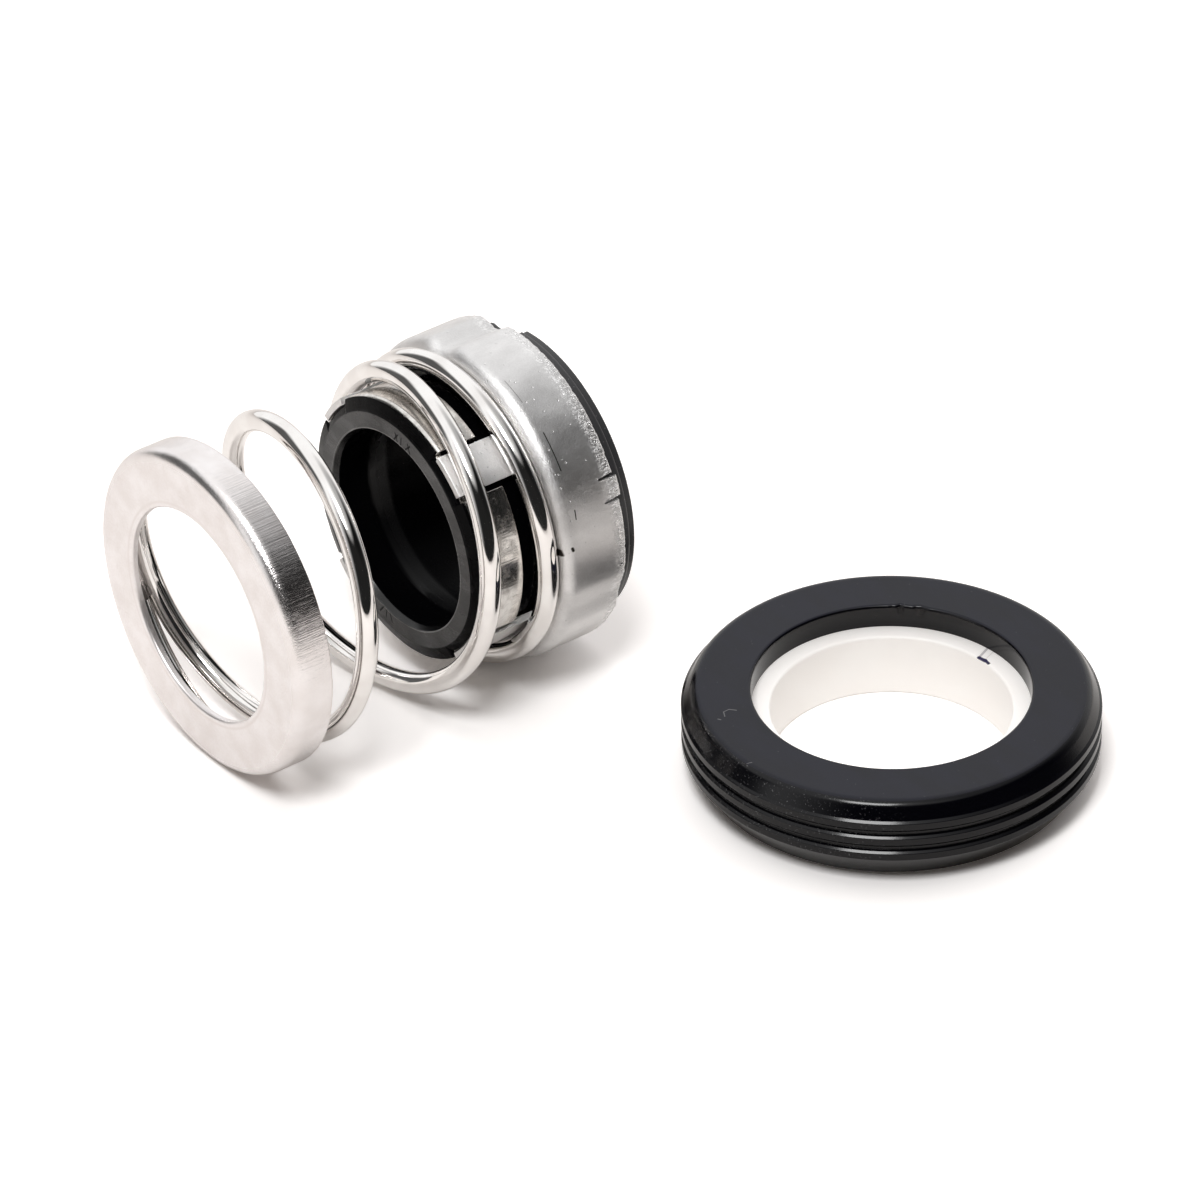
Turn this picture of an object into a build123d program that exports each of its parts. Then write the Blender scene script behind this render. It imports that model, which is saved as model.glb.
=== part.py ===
from build123d import *
import math
import os

os.makedirs("parts", exist_ok=True)

# A component seal for a pump shaft: a spring-loaded rotary head lying on its side,
# with the stationary seat lying flat beside it.  Millimetres, +Z up.
# The head is drawn along +X with its spring holder at x = 0, then moved into place.
# Sizes grow outwards from the shaft: each piece takes its radius from the one that
# it fits over, and each place along the axis from the piece before it.

# ---- driving dimensions -------------------------------------------------------

# Rubber bellows: thick tail with a collar, thin flexing web, flange behind the carbon
bellows_bore_radius = 9.5
tail_wall = 2.55
tail_front_x = 21.75
tail_edge_round = 0.6
tail_lead = 0.65
collar_taper = 1.25
collar_edge = 0.15
bore_relief = 0.6
web_thickness = 1.1
web_lead = 1.6
web_step = 0.7
web_clearance = 0.65
flange_thickness = 2.2
flange_clearance = 0.2

# Drive band stamped round the tail
band_sheet = 0.6
band_length = 4.3
band_lip_depth = 1.2
band_edge_round = 0.48
rubber_gap = 0.05
notch_clearance_angle = 2.5

# Tongues of the retainer that run in the band's notches
tongue_count = 4
tongue_first_angle = 40.0
tongue_half_angle = 9.0
tongue_bend_radius = 0.5
tongue_root = 0.6
tongue_lead = 0.35
notch_floor_gap = 0.15

# Coil spring, left-hand, closed at both ends
wire_radius = 1.0
coil_to_tongue = 0.2
coil_to_skirt = 0.25
coil_to_holder = 0.1
coil_to_retainer = 0.05
first_turn = -0.36
last_turn = 3.68
draw_in_turn = 2.2
draw_in_span = 0.45

# Stamped spring holder
coil_cover = 0.5
holder_depth = 3.8
holder_sheet = 0.7
holder_hole_clearance = 0.7
holder_bend_radius = 1.2
holder_edge_round = 0.3
skirt_edge_round = 0.15

# Stamped retainer shell, with dents that key the carbon and tabs that hold it in
retainer_sheet = 0.65
retainer_gap = 2.7
shell_depth = 6.8
retainer_bend_radius = 1.2
rim_roll = 0.35
dent_count = 3
dent_first_angle = 347.5
dent_depth = 0.9
dent_tool_radius = 4.0
tab_count = 3
tab_first_angle = 66.5
tab_half_angle = 3.5
tab_slit_angle = 1.3
tab_length = 1.8
tab_root = 0.4
tab_reach = 0.45
tab_sink = 0.15

# Washer behind the bellows flange
washer_thickness = 0.8
washer_clearance = 0.4

# Carbon primary ring
carbon_side_gap = 0.45
carbon_bore_clearance = 1.0
carbon_reach = 1.2
nose_step = 0.4
nose_width = 2.0
nose_height = 0.8
carbon_edge = 0.3
key_clearance = 0.5

# Stationary seat: ceramic ring in a ribbed rubber cup
ceramic_bore_clearance = 1.3
ceramic_width = 5.4
ceramic_thickness = 6.15
ceramic_edge = 0.3
cup_wall = 2.55
cup_back = 2.25
cup_lip = 1.7
cup_lip_edge = 0.3
cup_foot_gap = 0.35
cup_foot_wall = 0.8
land_setback = 0.25
land_slope = 0.2
land_taper = 0.85
cup_shoulder_round = 1.0
rib_count = 3
rib_height = 0.62
rib_pitch = 1.6
rib_lead = 2.3
groove_depth = 0.45
groove_upper_slope = 0.4
groove_lower_slope = 0.25

# Where the seat lies beside the head
seat_along = 47.75
seat_gap = 4.55


# ---- sizes that follow --------------------------------------------------------

tail_radius = bellows_bore_radius + tail_wall
band_inner_radius = tail_radius + rubber_gap
band_outer_radius = band_inner_radius + band_sheet
collar_radius = band_outer_radius - rubber_gap
tongue_inner_radius = band_inner_radius + notch_floor_gap
tongue_outer_radius = tongue_inner_radius + retainer_sheet
retainer_hole_radius = tongue_outer_radius + tongue_root
free_coil_radius = tongue_outer_radius + coil_to_tongue + wire_radius
head_radius = free_coil_radius + wire_radius + coil_cover
holder_inner_radius = head_radius - holder_sheet
holder_coil_radius = holder_inner_radius - coil_to_skirt - wire_radius
holder_hole_radius = bellows_bore_radius + holder_hole_clearance

web_outer_radius = tongue_inner_radius - web_clearance
web_inner_radius = web_outer_radius - web_thickness
dent_inner_radius = head_radius - dent_depth - retainer_sheet
flange_radius = dent_inner_radius - flange_clearance
shell_inner_radius = head_radius - retainer_sheet
carbon_radius = shell_inner_radius - carbon_side_gap
carbon_bore_radius = bellows_bore_radius + carbon_bore_clearance

band_front_x = tail_front_x + tail_lead
band_rear_x = band_front_x + band_length
tongue_tip_x = band_front_x - tongue_lead
shell_back_x = band_rear_x + retainer_gap
shell_inside_x = shell_back_x + retainer_sheet
shell_rim_x = shell_back_x + shell_depth
flange_x = shell_inside_x + washer_thickness
carbon_back_x = flange_x + flange_thickness
carbon_shoulder_x = shell_rim_x + carbon_reach
free_length = carbon_shoulder_x + nose_height

ceramic_bore_radius = bellows_bore_radius + ceramic_bore_clearance
ceramic_radius = ceramic_bore_radius + ceramic_width
rib_radius = ceramic_radius + cup_wall
land_radius = rib_radius - land_setback
cup_hole_radius = ceramic_bore_radius + cup_lip
seat_height = ceramic_thickness + cup_back

seat_aside = -(head_radius + seat_gap + rib_radius)
box_x = (seat_along + rib_radius) / 2
box_y = (head_radius + seat_aside - rib_radius) / 2
head_place = Location((-box_x, -box_y, head_radius))
seat_place = Location((seat_along - box_x, seat_aside - box_y, 0))


# ---- helpers ------------------------------------------------------------------

def section(*points):
    """A closed flat section from corner points given as (along the axis, radius)."""
    return make_face(Polyline(*points, close=True))


def rounded(face, x, y, radius):
    """Rounds the corner of a section that lies nearest to a point."""
    corner = min(face.vertices(), key=lambda v: math.hypot(v.X - x, v.Y - y))
    return fillet(corner, radius)


def turned(face):
    """Turns a section about the head's axis."""
    return revolve(face, Axis.X, 360)


def around(shape, angle):
    """Turns a shape drawn at twelve o'clock, clockwise as seen from the holder."""
    return Rot(-angle, 0, 0) * shape


def spread(shape, count, first_angle):
    """Copies a shape evenly round the axis."""
    return [around(shape, first_angle + k * 360 / count) for k in range(count)]


def sector(face, half_angle):
    """Turns a section, given as (along, radius), through a part of a turn only,
    centred at twelve o'clock."""
    swept = revolve(face, Axis.X, 2 * half_angle)
    return Rot(90 - half_angle, 0, 0) * swept


# ---- sub-parts of the head ----------------------------------------------------

def spring_holder():
    """A shallow drawn cup with a large hole: the spring pushes into its corner."""
    face = section(
        (0, holder_hole_radius),
        (0, head_radius),
        (holder_depth, head_radius),
        (holder_depth, holder_inner_radius),
        (holder_sheet, holder_inner_radius),
        (holder_sheet, holder_hole_radius),
    )
    face = rounded(face, 0, head_radius, holder_bend_radius)
    face = rounded(face, holder_sheet, holder_inner_radius, holder_bend_radius - holder_sheet)
    face = rounded(face, 0, holder_hole_radius, holder_edge_round)
    face = rounded(face, holder_depth, head_radius, skirt_edge_round)
    return turned(face)


def wire_share(turn):
    """Share of the way from the retainer to the holder covered after some turns."""
    # where the pitch changes: turns wound, and the share covered by then
    stops = [
        (0.40, 0.0),
        (0.64, 0.107),
        (0.93, 0.115),
        (1.45, 0.322),
        (1.80, 0.567),
        (2.30, 0.770),
        (2.50, 0.819),
        (2.95, 1.0),
    ]
    if turn <= stops[0][0]:
        return 0.0
    for (turn0, share0), (turn1, share1) in zip(stops, stops[1:]):
        if turn <= turn1:
            return share0 + (share1 - share0) * (turn - turn0) / (turn1 - turn0)
    return 1.0


def eased_share(turn):
    """The same, averaged over a part of a turn so that the wire bends smoothly."""
    samples = 12
    half_span = 0.1
    steps = [turn + half_span * ((k + 0.5) / samples * 2 - 1) for k in range(samples)]
    return sum(wire_share(t) for t in steps) / samples


def wire_coil_radius(turn):
    """The last coil is drawn in so that it enters the holder."""
    drawn = min(1, max(0, (turn - draw_in_turn) / draw_in_span))
    drawn = drawn * drawn * (3 - 2 * drawn)
    return free_coil_radius + (holder_coil_radius - free_coil_radius) * drawn


def spring():
    """Round wire on a winding whose turns open up between the closed ends."""
    seated_x = shell_back_x - coil_to_retainer - wire_radius
    held_x = holder_sheet + coil_to_holder + wire_radius
    points_per_turn = 16
    count = round((last_turn - first_turn) * points_per_turn)
    points = []
    for k in range(count + 1):
        turn = first_turn + (last_turn - first_turn) * k / count
        angle = math.radians(360 * turn)
        radius = wire_coil_radius(turn)
        x = seated_x + (held_x - seated_x) * eased_share(turn)
        points.append((x, -radius * math.sin(angle), radius * math.cos(angle)))
    path = Spline(*points)
    start = Plane(origin=path @ 0, z_dir=path % 0)
    return sweep(start * Circle(wire_radius), path=path)


def tongue_notches(front_x, rear_x):
    """The openings that the retainer's tongues pass through, over a length."""
    cut = section(
        (front_x, band_inner_radius),
        (front_x, head_radius),
        (rear_x, head_radius),
        (rear_x, band_inner_radius),
    )
    notch = sector(cut, tongue_half_angle + notch_clearance_angle)
    return spread(notch, tongue_count, tongue_first_angle)


def drive_band():
    """A ring stamped with an inward lip; its notches take the retainer's tongues."""
    lip_radius = band_outer_radius - band_lip_depth
    lip_x = band_front_x + band_sheet
    face = section(
        (band_front_x, lip_radius),
        (band_front_x, band_outer_radius),
        (band_rear_x, band_outer_radius),
        (band_rear_x, band_inner_radius),
        (lip_x, band_inner_radius),
        (lip_x, lip_radius),
    )
    face = rounded(face, band_front_x, band_outer_radius, band_edge_round)
    band = turned(face)
    for each in tongue_notches(band_front_x - band_sheet, band_rear_x + band_sheet):
        band -= each
    return band


def bellows():
    """Tail that grips the shaft, with a collar that covers the band's front, then
    the thin flexing web and the flange behind the carbon."""
    lip_radius = band_outer_radius - band_lip_depth - rubber_gap
    groove_low = band_front_x - rubber_gap
    groove_high = band_front_x + band_sheet + rubber_gap
    web_x = band_rear_x + web_lead
    face_radius = collar_radius - collar_taper
    face = section(
        (tail_front_x, bellows_bore_radius),
        (tail_front_x, face_radius),
        (groove_low - collar_edge, collar_radius),
        (groove_low, collar_radius),
        (groove_low, lip_radius),
        (groove_high, lip_radius),
        (groove_high, tail_radius),
        (web_x, tail_radius),
        (web_x + web_step, web_outer_radius),
        (flange_x, web_outer_radius),
        (flange_x, flange_radius),
        (carbon_back_x, flange_radius),
        (carbon_back_x, web_inner_radius),
        (web_x - bore_relief, web_inner_radius),
        (band_rear_x - bore_relief, bellows_bore_radius),
    )
    face = rounded(face, tail_front_x, face_radius, tail_edge_round / 2)
    face = rounded(face, tail_front_x, bellows_bore_radius, tail_edge_round / 2)
    face = rounded(face, web_x, tail_radius, tail_edge_round)
    face = rounded(face, flange_x, flange_radius, tail_edge_round)
    face = rounded(face, web_x - bore_relief, web_inner_radius, tail_edge_round)
    rubber = turned(face)
    for each in tongue_notches(tail_front_x, band_front_x):
        rubber -= each
    return rubber


def washer():
    """Flat steel washer between the flange and the retainer's back wall."""
    hole_radius = web_outer_radius + washer_clearance
    return turned(section(
        (shell_inside_x, hole_radius),
        (shell_inside_x, flange_radius),
        (flange_x, flange_radius),
        (flange_x, hole_radius),
    ))


def dent_bars(grown):
    """Long round bars that press the axial key dents into a turned form."""
    middle = head_radius + dent_tool_radius - dent_depth
    bar = Rot(0, 90, 0) * Cylinder(dent_tool_radius + grown, 4 * shell_depth)
    bar = Pos(shell_rim_x, 0, middle) * bar
    return spread(bar, dent_count, dent_first_angle)


def retainer():
    """A drawn shell round the carbon: tongues bent back over the tail, dents that
    key the carbon, and tabs lanced out of the rim that keep it from falling out."""
    outer = section(
        (shell_back_x, 0),
        (shell_back_x, head_radius),
        (shell_rim_x - rim_roll, head_radius),
        (shell_rim_x, head_radius - rim_roll),
        (shell_rim_x, 0),
    )
    outer = turned(rounded(outer, shell_back_x, head_radius, retainer_bend_radius))
    inner = section(
        (shell_inside_x, 0),
        (shell_inside_x, shell_inner_radius),
        (shell_rim_x + 1, shell_inner_radius),
        (shell_rim_x + 1, 0),
    )
    inner_bend = retainer_bend_radius - retainer_sheet
    inner = turned(rounded(inner, shell_inside_x, shell_inner_radius, inner_bend))
    for bar in dent_bars(0):
        outer -= bar
    for bar in dent_bars(retainer_sheet):
        inner -= bar
    shell = outer - inner
    hole = Rot(0, 90, 0) * Cylinder(retainer_hole_radius, shell_depth)
    shell -= Pos(shell_back_x, 0, 0) * hole
    for each in spread(tongue(), tongue_count, tongue_first_angle):
        shell += each
    window = sector(section(
        (shell_rim_x - tab_length, shell_inner_radius - retainer_sheet),
        (shell_rim_x - tab_length, head_radius + retainer_sheet),
        (shell_rim_x + retainer_sheet, head_radius + retainer_sheet),
        (shell_rim_x + retainer_sheet, shell_inner_radius - retainer_sheet),
    ), tab_half_angle + tab_slit_angle)
    tab = sector(section(
        (shell_rim_x - tab_length - tab_root, shell_inner_radius - tab_sink),
        (shell_rim_x - tab_length - tab_root, head_radius - tab_sink),
        (shell_rim_x + tab_reach, head_radius - tab_sink),
        (shell_rim_x + tab_reach, shell_inner_radius - tab_sink),
    ), tab_half_angle)
    for each in spread(window, tab_count, tab_first_angle):
        shell -= each
    for each in spread(tab, tab_count, tab_first_angle):
        shell += each
    return shell


def tongue():
    """One tongue, bent out of the back wall and standing just past the band."""
    face = section(
        (tongue_tip_x, tongue_inner_radius),
        (tongue_tip_x, tongue_outer_radius),
        (shell_back_x, tongue_outer_radius),
        (shell_back_x, retainer_hole_radius),
        (shell_inside_x, retainer_hole_radius),
        (shell_inside_x, tongue_inner_radius),
    )
    face = rounded(face, shell_back_x, tongue_outer_radius, tongue_bend_radius)
    outer_bend = tongue_bend_radius + retainer_sheet
    face = rounded(face, shell_inside_x, tongue_inner_radius, outer_bend)
    return sector(face, tongue_half_angle)


def primary_ring():
    """Carbon ring keyed by the shell's dents; its raised nose is the lapped face."""
    nose_outer_radius = carbon_radius - nose_step
    nose_inner_radius = nose_outer_radius - nose_width
    face = section(
        (carbon_back_x, carbon_bore_radius),
        (carbon_back_x, carbon_radius),
        (carbon_shoulder_x, carbon_radius),
        (carbon_shoulder_x, nose_outer_radius),
        (free_length, nose_outer_radius),
        (free_length, nose_inner_radius),
        (carbon_shoulder_x, nose_inner_radius),
        (carbon_shoulder_x, carbon_bore_radius),
    )
    ring = turned(rounded(face, carbon_shoulder_x, carbon_radius, carbon_edge))
    for bar in dent_bars(retainer_sheet + key_clearance):
        ring -= bar
    return ring


# ---- sub-parts of the seat ----------------------------------------------------

def seat_ring():
    """White ceramic ring; its lapped face is the lower one."""
    face = section(
        (ceramic_bore_radius, 0),
        (ceramic_radius, 0),
        (ceramic_radius, ceramic_thickness),
        (ceramic_bore_radius, ceramic_thickness),
    )
    face = chamfer(face.vertices(), ceramic_edge)
    return revolve(Plane.XZ * face, Axis.Z, 360)


def seat_cup():
    """Rubber cup round the ceramic: a tapered land that leads it into its housing,
    three ribs that are squeezed there, and a taper down to the foot."""
    groove_radius = rib_radius - groove_depth
    first_low = seat_height - rib_lead
    corners = [
        (cup_hole_radius, ceramic_thickness),
        (cup_hole_radius, seat_height),
        (land_radius - land_taper, seat_height),
        (land_radius, first_low + rib_height + land_slope),
    ]
    for k in range(rib_count):
        low = first_low - k * rib_pitch
        corners.append((rib_radius, low + rib_height))
        corners.append((rib_radius, low))
        if k < rib_count - 1:
            next_top = low - rib_pitch + rib_height
            corners.append((groove_radius, low - groove_upper_slope))
            corners.append((groove_radius, next_top + groove_lower_slope))
    corners.append((ceramic_radius + cup_foot_wall, cup_foot_gap))
    corners.append((ceramic_radius, cup_foot_gap))
    corners.append((ceramic_radius, ceramic_thickness))
    face = section(*corners)
    face = rounded(face, land_radius - land_taper, seat_height, cup_shoulder_round)
    face = rounded(face, cup_hole_radius, seat_height, cup_lip_edge)
    return revolve(Plane.XZ * face, Axis.Z, 360)


# ---- building -----------------------------------------------------------------

head_parts = {
    "spring_holder": spring_holder,
    "spring": spring,
    "drive_band": drive_band,
    "bellows": bellows,
    "washer": washer,
    "retainer": retainer,
    "primary_ring": primary_ring,
}
seat_parts = {
    "seat_ring": seat_ring,
    "seat_cup": seat_cup,
}
for name, make in head_parts.items():
    export_step(head_place * make(), f"parts/{name}.step")
for name, make in seat_parts.items():
    export_step(seat_place * make(), f"parts/{name}.step")
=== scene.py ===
# %% [markdown]
# # Dressing a component shaft seal
# The real object is a spring-loaded rotary head, lying on its side, and the stationary
# seat that it runs against.  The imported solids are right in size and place, so they
# could be painted as they are.  Here most of them are rebuilt as finer meshes, because
# stamped steel and moulded rubber show their bends, dents and flash from close by.

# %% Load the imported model
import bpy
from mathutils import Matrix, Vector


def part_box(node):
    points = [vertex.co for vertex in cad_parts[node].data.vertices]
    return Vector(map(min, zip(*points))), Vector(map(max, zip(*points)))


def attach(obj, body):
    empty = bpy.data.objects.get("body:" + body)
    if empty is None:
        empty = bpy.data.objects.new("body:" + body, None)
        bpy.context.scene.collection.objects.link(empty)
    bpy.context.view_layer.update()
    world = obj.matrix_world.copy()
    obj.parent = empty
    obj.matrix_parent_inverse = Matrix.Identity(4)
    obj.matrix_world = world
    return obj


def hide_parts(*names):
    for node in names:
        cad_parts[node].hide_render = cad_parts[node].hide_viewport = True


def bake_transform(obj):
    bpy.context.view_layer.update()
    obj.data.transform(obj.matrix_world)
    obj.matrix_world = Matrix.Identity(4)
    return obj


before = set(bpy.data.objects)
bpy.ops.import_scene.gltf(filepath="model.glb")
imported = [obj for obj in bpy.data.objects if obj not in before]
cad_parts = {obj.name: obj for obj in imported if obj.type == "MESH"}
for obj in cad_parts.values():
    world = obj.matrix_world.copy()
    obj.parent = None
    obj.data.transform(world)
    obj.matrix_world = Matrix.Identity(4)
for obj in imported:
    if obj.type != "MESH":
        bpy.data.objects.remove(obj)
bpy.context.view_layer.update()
print("pieces in the packed model:", ", ".join(sorted(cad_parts)))

# %% [markdown]
# ## Two places to build from
# The head is round about a level axis, and the seat about an upright one.  Both axes
# could be typed in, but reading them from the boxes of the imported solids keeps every
# new mesh on its solid.  Sizes are written in millimetres and turned into metres once.

# %% Measure the head's axis and the seat's axis
import math
import bmesh
import bpy
from mathutils import Matrix, Vector, noise

MM = 0.001
holder_low, holder_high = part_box("spring_holder")
cup_low, cup_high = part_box("seat_cup")
head_start = holder_low.x
axis_y = (holder_low.y + holder_high.y) / 2
axis_z = (holder_low.z + holder_high.z) / 2
seat_x = (cup_low.x + cup_high.x) / 2
seat_y = (cup_low.y + cup_high.y) / 2
print("head axis at y", round(axis_y / MM, 3), "z", round(axis_z / MM, 3), "mm")
print("seat axis at x", round(seat_x / MM, 3), "y", round(seat_y / MM, 3), "mm")


def head_point(along, radius, angle):
    """A point of the head: along its axis, off it, and clockwise from the top."""
    return Vector((
        head_start + along * MM,
        axis_y - radius * MM * math.sin(angle),
        axis_z + radius * MM * math.cos(angle),
    ))


def seat_point(height, radius, angle):
    """A point of the seat: above the floor, off its axis, and round it."""
    return Vector((
        seat_x + radius * MM * math.cos(angle),
        seat_y + radius * MM * math.sin(angle),
        height * MM,
    ))


# %% [markdown]
# ## Outlines with real corners
# A stamped or moulded edge is never sharp, and its small round is what catches the
# light.  A bevel modifier could add it, but most pieces here are turned from a flat
# outline, so the corners are rounded in the outline before it is turned.  A pair of
# extra points just outside each round keeps the flats beside it flat when shaded.

# %% Round the corners of an outline


def rounded_outline(corners, steps=5):
    """Corners (along, radius, round) as a closed list of points, each corner rounded."""
    hold_share, hold_least = 0.12, 0.01
    outline = []
    count = len(corners)
    for k, (along, radius, rounding) in enumerate(corners):
        here = Vector((along, radius))
        into = (Vector(corners[k - 1][:2]) - here).normalized()
        out = (Vector(corners[(k + 1) % count][:2]) - here).normalized()
        if rounding == 0:
            outline.append((along, radius))
            continue
        half = into.angle(out) / 2
        reach = rounding / math.tan(half)
        centre = here + (into + out).normalized() * rounding / math.sin(half)
        hold = reach + hold_share * rounding + hold_least
        outline.append(tuple(here + into * hold))
        first = here + into * reach - centre
        turn = first.angle_signed(here + out * reach - centre)
        for s in range(steps + 1):
            part = -turn * s / steps
            cosine, sine = math.cos(part), math.sin(part)
            outline.append((
                centre.x + first.x * cosine - first.y * sine,
                centre.y + first.x * sine + first.y * cosine,
            ))
        outline.append(tuple(here + out * hold))
    return outline


def divided(outline, step):
    """Adds points along the longer edges of a closed outline."""
    finer = []
    for k, point in enumerate(outline):
        following = outline[(k + 1) % len(outline)]
        gap = math.dist(point, following)
        parts = max(1, math.ceil(gap / step))
        for p in range(parts):
            share = p / parts
            finer.append((
                point[0] + (following[0] - point[0]) * share,
                point[1] + (following[1] - point[1]) * share,
            ))
    return finer


# %% [markdown]
# ## Turning an outline into a mesh
# A lathe could be had from the Screw modifier.  Building the rings of points in code
# gives one thing more: each point may be moved a little as a function of where it is,
# which is how the dents, tabs, chips and flash of the real pieces are made.

# %% Turn an outline round an axis


def finished_mesh(name, mesh, sharp_angle=35):
    """Makes an object of a mesh, smooth except where its faces meet at an edge."""
    bmesh.ops.recalc_face_normals(mesh, faces=mesh.faces)
    data = bpy.data.meshes.new(name)
    mesh.to_mesh(data)
    mesh.free()
    data.shade_smooth()
    data.set_sharp_from_angle(angle=math.radians(sharp_angle))
    piece = bpy.data.objects.new(name, data)
    bpy.context.scene.collection.objects.link(piece)
    triangles = sum(len(p.vertices) - 2 for p in data.polygons)
    print(name, "has", triangles, "triangles")
    return piece


def add_turned(mesh, outline, place, segments, shape=None, start=0.0, span=360.0):
    """Adds an outline turned through a whole turn, or through part of one with caps."""
    whole = span >= 360
    count = segments if whole else segments + 1
    rings = []
    for k in range(count):
        angle = math.radians(start + span * k / segments)
        ring = []
        for along, radius in outline:
            if shape:
                along, radius = shape(along, radius, angle)
            ring.append(mesh.verts.new(place(along, radius, angle)))
        rings.append(ring)
    size = len(outline)
    for k in range(segments):
        ring, following = rings[k], rings[(k + 1) % count]
        for p in range(size):
            q = (p + 1) % size
            mesh.faces.new((ring[p], ring[q], following[q], following[p]))
    if not whole:
        mesh.faces.new(rings[0])
        mesh.faces.new(rings[-1])


def turned_piece(name, outline, place, segments, shape=None):
    """A whole ring turned from one outline."""
    mesh = bmesh.new()
    add_turned(mesh, outline, place, segments, shape)
    return finished_mesh(name, mesh)


# %% [markdown]
# ## Sums on a surface
# A finish is mostly sums: a mask times a colour, one minus a mask, a grain added to a
# streak.  Wiring Math nodes by hand hides the sum, so one small class wraps a socket,
# and writing the sum in Python adds the nodes.  Everything that isn't a sum, such as
# a noise or a mix of colours, comes from its one `node` method.

# %% Wrap a socket so that sums can be written with it


class Reading:
    """What one socket of a finish reads, ready to be used in a sum."""

    def __init__(self, tree, socket=None):
        self.tree = tree
        self.socket = socket

    def node(self, kind, settings=None, values=None, out=0):
        """Adds any node: first its settings, then numbers or links for its sockets."""
        made = self.tree.nodes.new(kind)
        for name, value in (settings or {}).items():
            setattr(made, name, value)
        for name, value in (values or {}).items():
            if isinstance(value, Reading):
                self.tree.links.new(value.socket, made.inputs[name])
            else:
                made.inputs[name].default_value = value
        return Reading(self.tree, made.outputs[out] if made.outputs else None)

    def sum(self, operation, first, second=0.0):
        """One Math node on two readings or numbers."""
        return self.node("ShaderNodeMath", {"operation": operation}, {0: first, 1: second})

    def __add__(self, other):
        return self.sum("ADD", self, other)

    __radd__ = __add__

    def __sub__(self, other):
        return self.sum("SUBTRACT", self, other)

    def __rsub__(self, other):
        return self.sum("SUBTRACT", other, self)

    def __mul__(self, other):
        return self.sum("MULTIPLY", self, other)

    __rmul__ = __mul__

    def __truediv__(self, other):
        return self.sum("DIVIDE", self, other)

    def __rtruediv__(self, other):
        return self.sum("DIVIDE", other, self)

    def __pow__(self, other):
        return self.sum("POWER", self, other)

    def __abs__(self):
        return self.sum("ABSOLUTE", self)


def total(readings):
    """The sum of several readings."""
    summed, *others = readings
    for other in others:
        summed = summed + other
    return summed


def step(reading, low, high):
    """0 below one value, 1 above another, and smooth between them."""
    return reading.node(
        "ShaderNodeMapRange",
        {"interpolation_type": "SMOOTHSTEP"},
        {"Value": reading, "From Min": low, "From Max": high},
    )


def colour_mix(share, first, second):
    """A colour between two others; each is a reading or three numbers."""

    def full(colour):
        return colour if isinstance(colour, Reading) else (*colour, 1.0)
    return share.node(
        "ShaderNodeMix",
        {"data_type": "RGBA"},
        {0: share, 6: full(first), 7: full(second)},
        out=2,
    )


# %% [markdown]
# ## Where a point lies on its piece
# Grain, draw marks and scratches have to follow the way that a piece was made: along
# the axis where it was drawn, round it where it was turned.  Object coordinates give a
# point in metres, and a few sums turn them into the distance along an axis, the
# distance off it and the angle round it.

# %% Read positions in millimetres


class Places:
    """Positions on a piece, as readings, in millimetres and turns."""

    def __init__(self, tree):
        start = Reading(tree)
        self.metres = start.node("ShaderNodeTexCoord", out="Object")
        x, y, z = (
            start.node("ShaderNodeSeparateXYZ", values={0: self.metres}, out=k)
            for k in range(3)
        )
        self.along = (x - head_start) / MM
        self.left = (axis_y - y) / MM
        self.up = (z - axis_z) / MM
        self.off_axis = (self.left * self.left + self.up * self.up) ** 0.5
        self.angle = self.left.sum("ARCTAN2", self.left, self.up) * (180 / math.pi)
        self.seat_x = (x - seat_x) / MM
        self.seat_y = (y - seat_y) / MM
        self.seat_off = (self.seat_x * self.seat_x + self.seat_y * self.seat_y) ** 0.5
        self.height = z / MM

    def grain(self, size, stretch=(1, 1, 1), detail=3.0, roughness=0.5, shift=0.0):
        """Noise with features of a size in mm, made longer along the axes by stretch."""
        scale = tuple(1.0 / (size * MM * s) for s in stretch)
        moved = self.metres.node(
            "ShaderNodeMapping", values={"Vector": self.metres, "Scale": scale,
                                         "Location": (shift, shift, shift)})
        return moved.node(
            "ShaderNodeTexNoise",
            values={"Vector": moved, "Scale": 1.0, "Detail": detail, "Roughness": roughness},
        )

    def specks(self, size, share):
        """Small round specks, 1 inside; share is how much of a cell each may fill."""
        scaled = self.metres.node(
            "ShaderNodeMapping",
            values={"Vector": self.metres, "Scale": (1 / (size * MM),) * 3},
        )
        cell = scaled.node("ShaderNodeTexVoronoi", values={"Vector": scaled, "Scale": 1.0})
        return 1.0 - step(cell, share * 0.5, share)


def stroke(across, down, start, end, width):
    """A straight scratch or pen stroke between two points, 1 on its line."""
    run, fall = end[0] - start[0], end[1] - start[1]
    length_squared = run * run + fall * fall
    ahead = ((across - start[0]) * run + (down - start[1]) * fall) / length_squared
    held = ahead.node("ShaderNodeClamp", values={"Value": ahead})
    aside = across - start[0] - held * run
    below = down - start[1] - held * fall
    return 1.0 - step((aside * aside + below * below) ** 0.5, 0.3 * width, 0.7 * width)


def bump(height, depth, normal=None):
    """A surface raised by a reading times a depth in mm."""
    values = {"Height": height, "Strength": 1.0, "Distance": depth * MM}
    if normal:
        values["Normal"] = normal
    return height.node("ShaderNodeBump", values=values)


def new_finish(name, **shown):
    """A material with the shader's own sockets set, and the places on its surface."""
    material = bpy.data.materials.new(name)
    material.use_nodes = True
    shader = material.node_tree.nodes["Principled BSDF"]
    for socket, value in shown.items():
        shader.inputs[socket.replace("_", " ")].default_value = value
    return material, shader, Places(material.node_tree)


def feed(shader, **readings):
    """Links readings to the shader's sockets."""
    for socket, reading in readings.items():
        reading.tree.links.new(reading.socket, shader.inputs[socket.replace("_", " ")])


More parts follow.
